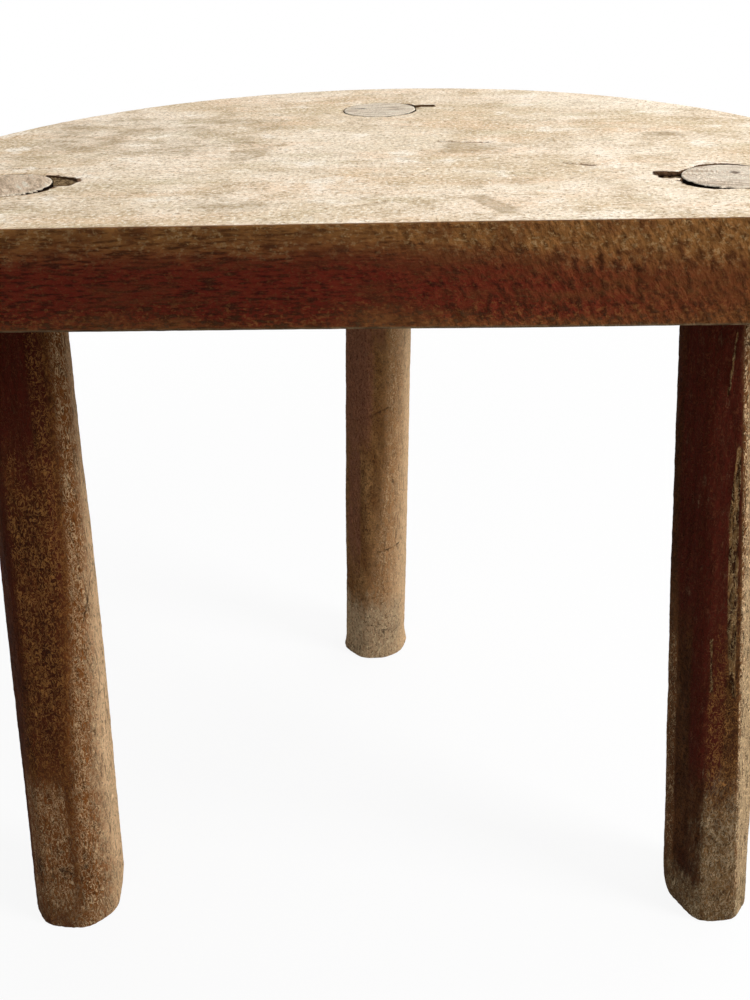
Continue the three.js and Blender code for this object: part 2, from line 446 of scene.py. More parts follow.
def finish_piece(piece, node, paint, angle):
    """Shades a piece smooth up to an angle, paints it, and lets it stand for its CAD node."""
    make_active(piece)
    bpy.ops.object.shade_smooth_by_angle(angle=math.radians(angle))
    piece.data.materials.clear()
    piece.data.materials.append(paint)
    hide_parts(node)
    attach(piece, "root")


def set_values(piece, name, values):
    """Keeps one number for each corner of the mesh, which its material reads by name."""
    attribute = piece.data.attributes.new(name, "FLOAT", "POINT")
    attribute.data.foreach_set("value", values)


# Shapes of wear

def waves(co, sizes, seed=0.0, depth=1):
    """Noise from about -1 to 1 whose waves have these sizes in millimetres."""
    place = [part / MM / size for part, size in zip(co, sizes)]
    place = Vector((place[0] + seed, place[1] - seed, place[2] + 2 * seed))
    return noise.noise(place) if depth == 1 else noise.fractal(place, 1.0, 2.1, depth)


def step(low, high, value):
    """0 at low, 1 at high, and smooth between."""
    share = min(max((value - low) / (high - low), 0.0), 1.0)
    return share * share * (3 - 2 * share)


def blob(u, v):
    """1 inside a patch, 0 past its rim, where u and v are shares of its half sizes."""
    return (1 - step(0.7, 1.2, abs(u))) * (1 - step(0.5, 1.3, abs(v)))


def to_line(x, y, x1, y1, x2, y2):
    """How far a point is from a line between two ends, and how far along it, from 0 to 1."""
    along = ((x - x1) * (x2 - x1) + (y - y1) * (y2 - y1)) / ((x2 - x1) ** 2 + (y2 - y1) ** 2)
    along = min(max(along, 0.0), 1.0)
    return math.hypot(x - x1 - along * (x2 - x1), y - y1 - along * (y2 - y1)), along


def groove(away, half, deep):
    """How deep a groove is at a distance from its middle line, from its half width and its
    depth."""
    share = away / half
    return deep * math.exp(-share * share) if share < 2.2 else 0.0


def turn_between(a, b):
    """The turn from one bearing to another in degrees, from -180 to 180."""
    return (a - b + 180) % 360 - 180


# The seat

def outline_points():
    """The D outline: straight front, two small round corners and the round back."""
    corner_y = FRONT_Y + CORNER_RADIUS
    rise = corner_y - BACK_CENTRE_Y
    corner_x = math.sqrt((BACK_RADIUS - CORNER_RADIUS) ** 2 - rise ** 2)
    join = math.atan2(rise, corner_x)
    arcs = (
        (corner_x, corner_y, CORNER_RADIUS, -math.pi / 2, join, CORNER_STEPS),
        (0, BACK_CENTRE_Y, BACK_RADIUS, join, math.pi - join, BACK_STEPS),
        (-corner_x, corner_y, CORNER_RADIUS, math.pi - join, 1.5 * math.pi, CORNER_STEPS),
    )
    points = [(-corner_x + 2 * corner_x * i / FRONT_STEPS, FRONT_Y) for i in range(FRONT_STEPS)]
    for x, y, radius, first, last, steps in arcs:
        for i in range(steps):
            angle = first + (last - first) * i / steps
            points.append((x + radius * math.cos(angle), y + radius * math.sin(angle)))
    return points


def seat_plank(wear):
    """The plank: its outline pulled up, arrises worn round, and faces ringed to a pole."""
    outline = outline_points()
    seat = start_face("seat_plank", len(outline), BACK_RADIUS)
    for vertex, (x, y) in zip(seat.data.vertices, outline):
        vertex.co = (x, y, SEAT_UNDER)
    thickness = SEAT_TOP - SEAT_UNDER
    pull(seat, thickness)
    face_outwards()
    for level in (SEAT_UNDER, SEAT_TOP):
        select("edges", level_edge(level))
        bevel(wear, WEAR_STEPS)
    select("edges", upright_edge(thickness / 2))
    bpy.ops.mesh.subdivide(number_cuts=WALL_STEPS)
    for level, rings in ((SEAT_TOP, TOP_RINGS), (SEAT_UNDER, UNDER_RINGS)):
        select("faces", end_face(level))
        ring_to_pole(level, rings)
    select("faces", needs_detail)
    bpy.ops.mesh.subdivide(number_cuts=3)
    face_outwards()
    leave_edit()
    return seat


def needs_detail(face):
    """A test for faces of the seat's top where a dent or the rim of a hole lies."""
    centre = face.calc_center_median()
    if not near(centre.z, SEAT_TOP):
        return False
    x, y = centre.x / MM, centre.y / MM
    if any(to_line(x, y, *dent[:4])[0] < 2.5 for dent in TOP_DENTS):
        return True
    return any(abs((centre - PLACES[name].top).length - PLACES[name].tenon) < 3 * MM for name in LEGS)


def dent_at(x, y):
    """How deep the dents are at a place on the seat's top, in millimetres."""
    return max(groove(to_line(x, y, *ends)[0], half, deep) for *ends, half, deep in TOP_DENTS)


def mark_at(marks, x, y):
    """How strong the strongest of some marks is at a place on the seat's top, from 0 to 1."""
    strongest = 0.0
    for cx, cy, length, width, turn, strength in marks:
        angle = math.radians(turn)
        u = ((x - cx) * math.cos(angle) + (y - cy) * math.sin(angle)) / length
        v = ((y - cy) * math.cos(angle) - (x - cx) * math.sin(angle)) / width
        strongest = max(strongest, strength * blob(u, v))
    return strongest


def rim_at(co):
    """How near a place is to the rim of a tenon's hole, from 0 to 1."""
    nearest = min(abs((co - place.axis(co.z)).length - place.tenon) for place in PLACES.values())
    return step(3.5 * MM, 0.3 * MM, nearest)


def rasped(co):
    """The relief on the plank's edge: slanting rasp marks to the right, fibres to the left."""
    to_right = step(-30 * MM, 60 * MM, co.x) if co.y < FRONT_Y + 5 * MM else 0.5
    slant = math.radians(33)
    turned = (
        co.x * math.cos(slant) + co.z * math.sin(slant), co.y,
        co.z * math.cos(slant) - co.x * math.sin(slant),
    )
    pits = -max(0.0, waves(turned, (2.4, 5, 4.6), 5)) - 0.4 * max(0.0, waves(turned, (1.5, 3, 2.6), 8))
    fibres = -max(0.0, waves(co, (8, 5, 1.7), 9)) - 0.5 * max(0.0, waves(co, (3.5, 3, 1.2), 4))
    return 0.9 * to_right * pits + 0.5 * (1.1 - to_right) * fibres


def weather_seat(seat):
    """Moves the seat's surface as wear, rasping and the grain have, and notes the stains."""
    seat.data.update()
    normals = [vertex.normal.copy() for vertex in seat.data.vertices]
    notes = {"stain": [], "pale": [], "dent": [], "rim": [], "top": []}
    for vertex, normal in zip(seat.data.vertices, normals):
        co = vertex.co.copy()
        x, y = co.x / MM, co.y / MM
        below = SEAT_TOP - co.z
        on_top = step(0.3, 0.9, normal.z)
        on_edge = 1 - step(0.5, 0.95, abs(normal.z))
        dent = dent_at(x, y) if on_top > 0 else 0.0
        rim = rim_at(co) if on_top > 0 else 0.0
        rise = 0.12 * waves(co, (70, 70, 70), 3) - 0.12
        rise += 0.07 * waves(co, (20, 2.6, 6), 7, 4) + 0.06 * waves(co, (3.5, 3.5, 3.5), 2)
        rise -= dent + 0.45 * rim * (0.7 + 0.6 * waves(co, (4, 4, 4), 6))
        if on_edge > 0:
            chipped = max(0.0, waves(co, (14, 14, 9), 11, 3) - 0.25) * step(7 * MM, 1 * MM, below)
            rise += on_edge * (rasped(co) - 0.7 * chipped)
        vertex.co = co + normal * min(rise, 0.0) * MM
        from_arris = step(FRONT_Y + 0.4 * MM, FRONT_Y + 2.4 * MM, co.y)
        notes["stain"].append(mark_at(TOP_STAINS, x, y))
        notes["pale"].append(mark_at(TOP_PALE, x, y))
        notes["dent"].append(min(1.0, dent * 1.8))
        notes["rim"].append(rim)
        notes["top"].append(step(0.62, 0.93, normal.z) * from_arris)
    for key, values in notes.items():
        set_values(seat, key, values)


def lean_with(piece, leg):
    """Leans an upright shape so that it follows a leg's axis."""
    for vertex in piece.data.vertices:
        vertex.co += leg.axis(vertex.co.z) - Vector((0, 0, vertex.co.z))


def bar(name, leg, radius, shift=(0, 0), overrun=OVERRUN):
    """A round bar along a leg's axis, from under the seat to above it."""
    depth = SEAT_TOP - SEAT_UNDER + 2 * overrun
    piece = start(
        name, bpy.ops.mesh.primitive_cylinder_add, vertices=HOLE_STEPS, radius=radius,
        depth=depth, location=(*shift, SEAT_UNDER - overrun + depth / 2),
    )
    bpy.ops.object.transform_apply(location=True, rotation=True, scale=True)
    lean_with(piece, leg)
    return piece


def grown(corners, clearance):
    """A flat outline, anticlockwise, with every side moved out by a clearance."""
    points = []
    for i, corner in enumerate(corners):
        side_in = (corner - corners[i - 1]).normalized()
        side_out = (corners[(i + 1) % len(corners)] - corner).normalized()
        out_in = Vector((side_in.y, -side_in.x))
        outwards = (out_in + Vector((side_out.y, -side_out.x))).normalized()
        points.append(corner + outwards * clearance / outwards.dot(out_in))
    return points


def wedge_block(name, leg, outline, clearance, top):
    """A tapered block beside the tenon, from a level down to the wood left under it."""
    corners = grown([Vector(corner) * MM for corner in outline], clearance)
    bottom = SEAT_UNDER + WOOD_UNDER_WEDGE - clearance
    block = start_face(name, len(corners), leg.tenon)
    for vertex, corner in zip(block.data.vertices, corners):
        vertex.co = (corner.x, corner.y, top)
    reach = max(abs(corner.x) for corner in corners)
    tip_share = (leg.tenon + WEDGE_TIP + clearance) / reach
    share = 1 + (tip_share - 1) * (top - bottom) / (SEAT_TOP - bottom)
    pull(block, bottom - top)
    resize_level(share, bottom)
    face_outwards()
    leave_edit()
    lean_with(block, leg)
    return block


def leg_hole(name, leg, facts):
    """All that is cut out of the seat for one leg: its hole, wedge slot and worn gaps."""
    hole_radius = leg.tenon + FIT_GAP
    hole = bar(f"{name}_hole", leg, hole_radius)
    slot = wedge_block(f"{name}_slot", leg, facts["wedge"], FIT_GAP, SEAT_TOP + OVERRUN)
    combine(hole, slot, "UNION")
    for i, (bearing, reach, radius) in enumerate(facts["gaps"]):
        away = hole_radius + (reach - radius) * MM
        angle = math.radians(bearing)
        shift = (away * math.cos(angle), away * math.sin(angle))
        overrun = OVERRUN * (1.1 + 0.1 * i)
        combine(hole, bar(f"{name}_gap", leg, radius * MM, shift, overrun), "UNION")
    return hole


class STOOL_OT_seat(bpy.types.Operator):
    """Build the D-shaped plank seat with its worn faces and its holes"""

    bl_idname = "stool.seat"
    bl_label = "Seat"

    def execute(self, context):
        seat = seat_plank(context.scene.stool_sizes.seat_wear)
        weather_seat(seat)
        for name, facts in LEGS.items():
            combine(seat, leg_hole(name, PLACES[name], facts), "DIFFERENCE")
        finish_piece(seat, "seat", seat_wood(context.scene.stool_colours), 40)
        return {"FINISHED"}


# The legs

class LegPlace:
    """A leg's axis, and its radii at the foot and in the seat, read from its CAD node."""

    def __init__(self, name):
        corners = [vertex.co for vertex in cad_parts[f"{name}_leg"].data.vertices]
        foot_corners = [co for co in corners if near(co.z, 0)]
        top_corners = [co for co in corners if near(co.z, SEAT_TOP)]
        self.foot = self.middle(foot_corners)
        self.top = self.middle(top_corners)
        self.tenon = max((co - self.axis(co.z)).length for co in corners if co.z > SEAT_UNDER)
        low = [co for co in corners if 2 * MM < co.z < 6 * MM]
        self.foot_radius = max((co - self.axis(co.z)).length for co in low)

    @staticmethod
    def middle(corners):
        """The middle of a flat end, which is where its fan of triangles meets."""
        return sum(corners, Vector()) / len(corners)

    def axis(self, height):
        return self.foot.lerp(self.top, height / SEAT_TOP)


PLACES = {name: LegPlace(name) for name in LEGS}


def leg_post(name, leg):
    """An upright leg: a foot disc pulled up to the seat, stepped in, and up to the top."""
    hewn_top = SEAT_UNDER - FIT_GAP - SHOULDER
    post = start_face(f"{name}_leg_post", LEG_STEPS_ROUND, leg.foot_radius)
    taper = 1 + (leg.tenon / leg.foot_radius - 1) * hewn_top / SEAT_TOP
    into_seat = leg.tenon / (leg.foot_radius * taper)
    pull(post, hewn_top)
    resize_level(taper, hewn_top)
    face_outwards()
    select("edges", level_edge(0))
    bevel(FOOT_WEAR, WEAR_STEPS)
    select("edges", upright_edge(hewn_top / 2))
    bpy.ops.mesh.subdivide(number_cuts=LEG_PARTS - 1)
    select("edges", upright_edge(hewn_top / (2 * LEG_PARTS)))
    bpy.ops.mesh.subdivide(number_cuts=PART_STEPS - 1)
    select("faces", end_face(hewn_top))
    raise_selection(SHOULDER)
    resize_level(into_seat, hewn_top + SHOULDER)
    raise_selection(SEAT_TOP - SEAT_UNDER + FIT_GAP)
    select("edges", level_edge(SEAT_TOP))
    bevel(TENON_END_WEAR, WEAR_STEPS)
    for level in (SEAT_TOP, 0):
        select("faces", end_face(level))
        ring_to_pole(level, END_RINGS)
    face_outwards()
    leave_edit()
    return post


def hewn(facts, bearing, height):
    """The hewn section's radius as a share of its circle, at a bearing and a height."""
    share_up = height / SEAT_TOP
    arrises = [a + t * share_up for a, t in zip(facts["arrises"], facts["twist"])]
    for i, first in enumerate(arrises):
        last = arrises[i + 1] if i + 1 < len(arrises) else arrises[0] + 360
        past = (bearing - first) % 360
        half = (last - first) / 2
        if past <= 2 * half:
            return math.cos(math.radians(half)) / math.cos(math.radians(past - half))
    return 1.0


def soft_hewn(facts, bearing, height, limit):
    """The hewn share with its arrises rubbed round."""
    turns = (-1.0, -0.5, 0.0, 0.5, 1.0)
    shares = [min(limit, hewn(facts, bearing + turn * facts["soft"], height)) for turn in turns]
    return sum(shares) / len(shares)


def foot_wear(facts, bearing, height):
    """How far the foot's lower edge is worn back, or flares where negative, in
    millimetres."""
    worn = 0.0
    for centre, half_turn, reach, rise in facts["foot"]:
        if height < rise:
            turn = abs(turn_between(bearing, centre)) / half_turn
            worn += reach * (1 - height / rise) ** 2 * (1 - step(0.3, 1.1, turn))
    return worn


def rim_bite(facts, bearing, place):
    """How far the tenon's upper rim is broken back, in millimetres. Splinters stand out."""
    bite = 0.3 * abs(waves(place, (1.6, 1.6, 1.6), 12))
    for centre, reach, _ in facts["gaps"]:
        beside = 1 - step(18, 40, abs(turn_between(bearing, centre)))
        bite += 0.3 * reach * beside * max(0.0, waves(place, (1.3, 1.3, 1.3), 13))
    for centre, length in facts["splinters"]:
        bite -= length * (1 - step(0.6, 2.8, abs(turn_between(bearing, centre))))
    return bite


def patch_at(patches, bearing, height):
    """How strong the strongest patch is at a place on a leg, from 0 to 1."""
    strongest = 0.0
    for centre, level, half_turn, half_height, strength in patches:
        turn = turn_between(bearing, centre) / half_turn
        if abs(turn) < 1.4:
            strongest = max(strongest, strength * blob(turn, (height - level) / half_height))
    return strongest


def bare_and_lit_at(rows, bearing, height):
    """How bare the side towards the light is worn at a place on a leg, from 0 to 1. It also
    carries painted light, rising as the leg turns to the lamp.
    """
    last = rows[-1]
    for row, following in zip(rows, rows[1:]):
        if height <= following[0]:
            share = max(0.0, height - row[0]) / (following[0] - row[0])
            last = [a + (b - a) * share for a, b in zip(row, following)]
            break
    _, begins, full, most = last
    turn = turn_between(bearing, 0)
    rising = min(max((turn - begins) / (full - begins), 0.0), 1.0)
    return most * rising * (1 - step(50, 120, turn))


def to_mark(bearing, height, arc, first, low, last, high):
    """How far a place on a leg is from a line between two bearings and heights, and how far
    along it, where a degree round the leg is one arc long."""
    across = turn_between(bearing, first) * arc
    return to_line(across, height, 0, low, turn_between(last, first) * arc, high)


def nick_at(nicks, *spot):
    """How deep the nicks are at a place on a leg, in millimetres."""
    return max(groove(to_mark(*spot, *ends)[0], half, deep) for *ends, half, deep in nicks)


def scar_at(strands, *spot):
    """How far into a scar a place on a leg is, from 0 at its rim to 1 in its middle."""
    inside = 0.0
    for strand in strands:
        for (first, low, half_low), (last, high, half_high) in zip(strand, strand[1:]):
            away, along = to_mark(*spot, first, low, last, high)
            half = half_low + (half_high - half_low) * along
            inside = max(inside, 1 - away / half)
    return step(0.0, 0.5, inside)


def hewn_relief(place, nick, scar):
    """How far a leg's skin rises, as axe marks, fibres, nicks and scars make it, in
    millimetres."""
    rise = 0.30 * waves(place, (10, 10, 40), 2) + 0.18 * waves(place, (2.4, 2.4, 9), 4, 3)
    rise += 0.12 * waves(place, (1.6, 1.6, 1.8), 6)
    torn = abs(waves(place, (1.7, 1.7, 11), 8, 3))
    return rise - nick - scar * (SCAR_DEPTH - 2.2 * torn)


def wear_end(vertex, leg, facts, bearing, place):
    """Breaks the tenon's upper rim back, and roughens its sawn end."""
    radius = vertex.co.xy.length
    if radius > leg.tenon - 1 * MM:
        vertex.co.xy *= 1 - rim_bite(facts, bearing, place) * MM / radius
    vertex.co.z -= (0.15 + 0.15 * abs(waves(place, (12, 1.2, 5), 3))) * MM


def hew_leg(post, name, leg, facts):
    """Flattens an upright leg's facets, roughens it as the axe and years have, wears its
    foot, and notes where it is stained or darkened, and where its side towards the light is
    worn bare with painted light."""
    ledge = SEAT_UNDER - FIT_GAP
    arc = math.radians(1) * leg.foot_radius / MM
    least_wear = 1 - LEG_ARRIS_WEAR / leg.foot_radius
    notes = {key: [] for key in LEG_MARKS}
    for vertex in post.data.vertices:
        co = vertex.co.copy()
        place = co + leg.foot
        radius = co.xy.length
        bearing = math.degrees(math.atan2(co.y, co.x))
        height = co.z / MM
        arch = math.sin(math.pi * min(1.0, co.z / ledge))
        hewn_here = 1 - step(ledge - SHOULDER, ledge, co.z)
        nick = nick_at(LEG_NICKS[name], bearing, height, arc)
        scar = scar_at(LEG_SCARS[name], bearing, height, arc)
        if radius > 0 and hewn_here > 0:
            share = soft_hewn(facts, bearing, co.z, least_wear)
            share += (ROUND_SHARE - share) * facts["round_foot"] * step(32, 4, height)
            rise = hewn_relief(place, nick, scar) + LEG_BELLY * arch
            rise -= foot_wear(facts, bearing, height)
            outer = radius / leg.foot_radius if co.z < FOOT_WEAR else 1.0
            vertex.co.xy *= 1 + hewn_here * (share - 1 + rise * MM * outer / radius)
            vertex.co.x += facts["bow"] * MM * arch
        elif co.z > SEAT_TOP - 1 * MM:
            wear_end(vertex, leg, facts, bearing, place)
        for key, patches in LEG_PATCHES[name].items():
            notes[key].append(patch_at(patches, bearing, height) * hewn_here)
        # The side towards the light: worn bare, and painted lighter still as the leg turns to the lamp
        bare = bare_and_lit_at(LEG_BARE_AND_LIT[name], bearing, height) * hewn_here
        notes["bare"][-1] = max(notes["bare"][-1], bare)
        notes["nick"].append(min(1.0, 1.9 * nick))
        notes["scar"].append(scar * hewn_here)
    for key, values in notes.items():
        set_values(post, key, values)


class STOOL_OT_legs(bpy.types.Operator):
    """Build the three hewn legs with their tenons and worn feet"""

    bl_idname = "stool.legs"
    bl_label = "Legs"

    def execute(self, context):
        colours = context.scene.stool_colours
        for name, facts in LEGS.items():
            leg = PLACES[name]
            post = leg_post(name, leg)
            hew_leg(post, name, leg, facts)
            lean_with(post, leg)
            finish_piece(post, f"{name}_leg", leg_wood(name, leg, facts, colours), 50)
        return {"FINISHED"}


# The wedges

def split_wedge(wedge, leg, broken):
    """Remeshes a wedge finely, furrows its split top and breaks its near side away."""
    remesh = wedge.modifiers.new("fine", "REMESH")
    remesh.mode = "VOXEL"
    remesh.voxel_size = 0.35 * MM
    apply_modifiers(wedge)
    level = max(vertex.co.z for vertex in wedge.data.vertices)
    depth = level - SEAT_UNDER - WOOD_UNDER_WEDGE
    for vertex in wedge.data.vertices:
        co = vertex.co.copy()
        across = (co.y - leg.axis(co.z).y) / MM
        gone = broken * step(3.2, 1.6, across) + 1.1 * abs(waves(co, (4, 1.3, 5), 1, 3))
        share = (co.z - level + depth) / depth
        vertex.co.z -= gone * MM * step(0.3, 1.0, share)


class STOOL_OT_wedges(bpy.types.Operator):
    """Build the three split wedges sunk beside the tenons"""

    bl_idname = "stool.wedges"
    bl_label = "Wedges"

    def execute(self, context):
        for name, facts in LEGS.items():
            leg = PLACES[name]
            top = SEAT_TOP - facts["sunk"] * MM
            wedge = wedge_block(f"{name}_wedge_split", leg, facts["wedge"], 0, top)
            combine(wedge, bar(f"{name}_bar", leg, leg.tenon + FIT_GAP), "DIFFERENCE")
            split_wedge(wedge, leg, facts["broken"])
            finish_piece(wedge, f"{name}_wedge", wedge_wood(name), 35)
        return {"FINISHED"}


# Materials

def material(name):
    made = bpy.data.materials.new(name)
    made.use_nodes = True
    made.node_tree.nodes.clear()
    return made


def add(tree, kind, *values, output=0, **settings):
    """Adds a node, sets its properties, fills its inputs in order with values or links, and
    returns one of its outputs."""
    node = tree.nodes.new("ShaderNode" + kind)
    for key, value in settings.items():
        setattr(node, key, value)
    for socket, value in zip([s for s in node.inputs if s.enabled], values):
        if isinstance(value, bpy.types.NodeSocket):
            tree.links.new(value, socket)
        elif value is not None:
            socket.default_value = value
    if isinstance(output, str):
        return node.outputs[output]
    live = [socket for socket in node.outputs if socket.enabled]
    return live[output] if live else None


def grain(tree, sizes, detail=4.0, turn=(0, 0, 0), shift=0.0, warp=0.0, rough=0.6):
    """Noise whose lumps have these sizes in millimetres along X, Y and Z, after a turn."""
    here = add(tree, "TexCoord", output="Object")
    turned = add(tree, "Mapping", here, (shift, shift, shift), turn)
    scaled = add(tree, "Mapping", turned, None, None, [1 / (size * MM) for size in sizes])
    return add(tree, "TexNoise", scaled, 1.0, detail, rough, 2.1, warp)


def curls(tree, sizes, width, shift=0.0):
    """Thin curled lines, as lifted fibres and fine cracks make: 1 on a line, 0 off it."""
    lumps = grain(tree, sizes, 2.0, shift=shift, warp=1.2)
    beside = add(tree, "Math", lumps, 0.5, operation="SUBTRACT")
    away = add(tree, "Math", beside, operation="ABSOLUTE")
    return add(tree, "MapRange", away, 0.0, width, 1.0, 0.0)


def within(tree, lines, pattern):
    """Lines kept only where a pattern is high, so that they come in clusters."""
    share = add(tree, "MapRange", pattern, 0.38, 0.60, 0.5, 1.0)
    return add(tree, "Math", lines, share, operation="MULTIPLY")


def layer(tree, below, above, mask, low, high, most=1.0):
    """Lays a colour over another where a mask goes from low to high. Each may be in hex."""
    below, above = (linear(part) if isinstance(part, str) else part for part in (below, above))
    share = add(tree, "MapRange", mask, low, high, 0.0, most, interpolation_type="SMOOTHSTEP")
    return add(tree, "Mix", share, below, above, data_type="RGBA")


def layers(tree, colour, *rows):
    """Lays colours one over another. A row is a colour, its mask, the mask's values where it
    begins and where it is full, and the most that it covers, which is all if left out."""
    for above, mask, low, high, *most in rows:
        colour = layer(tree, colour, above, mask, low, high, *most)
    return colour


def below_top(tree):
    """How far a place lies below the seat's top."""
    here = add(tree, "TexCoord", output="Object")
    z = add(tree, "SeparateXYZ", here, output="Z")
    return add(tree, "Math", SEAT_TOP, z, operation="SUBTRACT")


def ragged(tree, value, pattern, amount):
    """A value whose edges a pattern makes ragged, by up to half the amount each way."""
    middled = add(tree, "Math", pattern, 0.5, operation="SUBTRACT")
    return add(tree, "Math", middled, amount, value, operation="MULTIPLY_ADD")


def surface(tree, colour, roughness, bumps):
    """Matt wood: a colour, a roughness, and bumps, each a pattern with its depth."""
    normal = None
    for pattern, depth in bumps:
        normal = add(tree, "Bump", 1.0, depth * MM, None, pattern, normal)
    shader = add(tree, "BsdfPrincipled", colour, 0.0, roughness, 1.5, 1.0, normal)
    shader.node.inputs["Specular IOR Level"].default_value = 0.04
    add(tree, "OutputMaterial", shader)


def seat_wood(colours):
    """Sycamore, scrubbed and sun-bleached. The top is pale cream with grey-brown clouds,
    fine dark flecks and darker colour in its dents. The edge keeps a dark red stain in its
    middle, rubbed to olive brown at both arrises and towards its right end, with a lighter
    brown line along its top arris that is partly a painted highlight. The walls of the holes
    are painted with shade, darker the deeper they go."""
    made = material("Sycamore, scrubbed top and stained edge")
    tree = made.node_tree
    here = add(tree, "TexCoord", output="Object")
    x = add(tree, "SeparateXYZ", here, output="X")
    depth = below_top(tree)
    fibres = grain(tree, (7, 1.4, 1.1), 4, shift=0.3)
    grit = grain(tree, (1.5, 1.5, 1.1), 4, shift=0.7)
    smudges = grain(tree, (10, 9, 9), 5, shift=0.4)
    top, flecks = scrubbed_top(tree, colours, grit, smudges)
    to_right = add(tree, "MapRange", x, -0.04, 0.08, 0.0, 1.0)
    lumps = grain(tree, (2.1, 3.0, 4.2), 4, turn=(0, math.radians(33), 0))
    strokes = add(tree, "Mix", to_right, fibres, lumps)
    # Painted shade on the walls of the holes: brown just under the top, nearly black deeper down
    hole = layer(tree, "#6b4f38", "#1c120b", depth, 0.7 * MM, 2 * MM)
    under = layers(
        tree, "#6f5a41",
        ("#4c3a28", fibres, 0.42, 0.66),
        ("#8b7354", smudges, 0.5, 0.7, 0.7),
    )
    is_top = add(tree, "Attribute", attribute_name="top", output="Fac")
    deep = add(tree, "MapRange", depth, 0.9 * MM, 1.3 * MM, 1.0, 0.0)
    is_top = ragged(tree, add(tree, "Math", is_top, deep, operation="MINIMUM"), fibres, 0.5)
    colour = layers(
        tree, stained_edge(tree, x, depth, strokes, grit, smudges),
        # A lighter brown line along the top arris: partly the change from bleached top to stain,
        # partly a painted highlight on the rounded arris
        ("#a47c56", is_top, 0.02, 0.5, 0.8),
        # The hole walls' painted shade
        (hole, away_from_holes(tree), 1.0, 0.0),
        (under, depth, 33.6 * MM, 34.4 * MM),
        (top, is_top, 0.35, 0.9),
    )
    roughness = add(tree, "MapRange", fibres, 0.3, 0.7, 0.75, 0.95)
    off_top = add(tree, "MapRange", is_top, 0.1, 0.6, 1.0, 0.0)
    relief = add(tree, "Math", strokes, off_top, operation="MULTIPLY")
    surface(
        tree, colour, roughness,
        ((smudges, 0.5), (fibres, 0.3), (grit, 0.5), (relief, 4.0), (flecks, 0.2)),
    )
    return made


def away_from_holes(tree):
    """0 on the walls of the holes for the tenons and wedges, and 1 away from them."""
    here = add(tree, "TexCoord", output="Object")
    nearest = None
    for leg in PLACES.values():
        middle = tuple(leg.axis((SEAT_UNDER + SEAT_TOP) / 2))
        away = add(tree, "VectorMath", here, middle, operation="DISTANCE", output="Value")
        nearest = away if nearest is None else add(tree, "Math", nearest, away, operation="MINIMUM")
    return add(tree, "MapRange", nearest, 36 * MM, 40 * MM, 0.0, 1.0)


def scrubbed_top(tree, colours, grit, smudges):
    """The bleached top's colour, and its flecks."""
    names = ("stain", "pale", "dent", "rim")
    stain, pale, dent, rim = (add(tree, "Attribute", attribute_name=n, output="Fac") for n in names)
    tints = grain(tree, (45, 14, 14), 3, shift=0.8)
    patches = grain(tree, (60, 50, 50), 4)
    clouds = grain(tree, (20, 17, 17), 6, shift=0.2)
    streaks = grain(tree, (34, 2.2, 2.2), 5)
    flecks = grain(tree, (3.0, 1.3, 1.3), 4, shift=0.1)
    marks = curls(tree, (6, 5, 5), 0.035, shift=0.5)
    spoiled = ragged(tree, ragged(tree, stain, clouds, 1.4), flecks, 0.9)
    top = layers(
        tree, "#dac4a4",
        (tuple(colours.bleached), patches, 0.38, 0.60),
        ("#ebc7a2", tints, 0.50, 0.68, 0.4),
        ("#c4b793", tints, 0.46, 0.32, 0.35),
        ("#c5ae8d", clouds, 0.48, 0.68, 0.75),
        ("#fef4e4", clouds, 0.46, 0.30, 0.85),
        ("#ab9574", smudges, 0.56, 0.74, 0.6),
        ("#fdf0dc", ragged(tree, pale, clouds, 1.6), 0.3, 1.0, 0.4),
        ("#b0966f", streaks, 0.54, 0.74, 0.45),
        ("#fff7e8", grit, 0.47, 0.36, 0.7),
        ("#9d8265", grit, 0.54, 0.65, 0.7),
        ("#7e6244", flecks, 0.60, 0.70, 0.65),
        ("#8a7050", within(tree, marks, smudges), 0.3, 1.0, 0.5),
        ("#96805f", spoiled, 0.35, 1.0, 0.6),
        # Darker colour in the dents, strongest where they are deepest
        ("#59402a", ragged(tree, dent, grit, 0.8), 0.25, 1.0, 0.8),
        ("#876f50", ragged(tree, rim, smudges, 1.6), 0.4, 1.2, 0.6),
    )
    return top, flecks


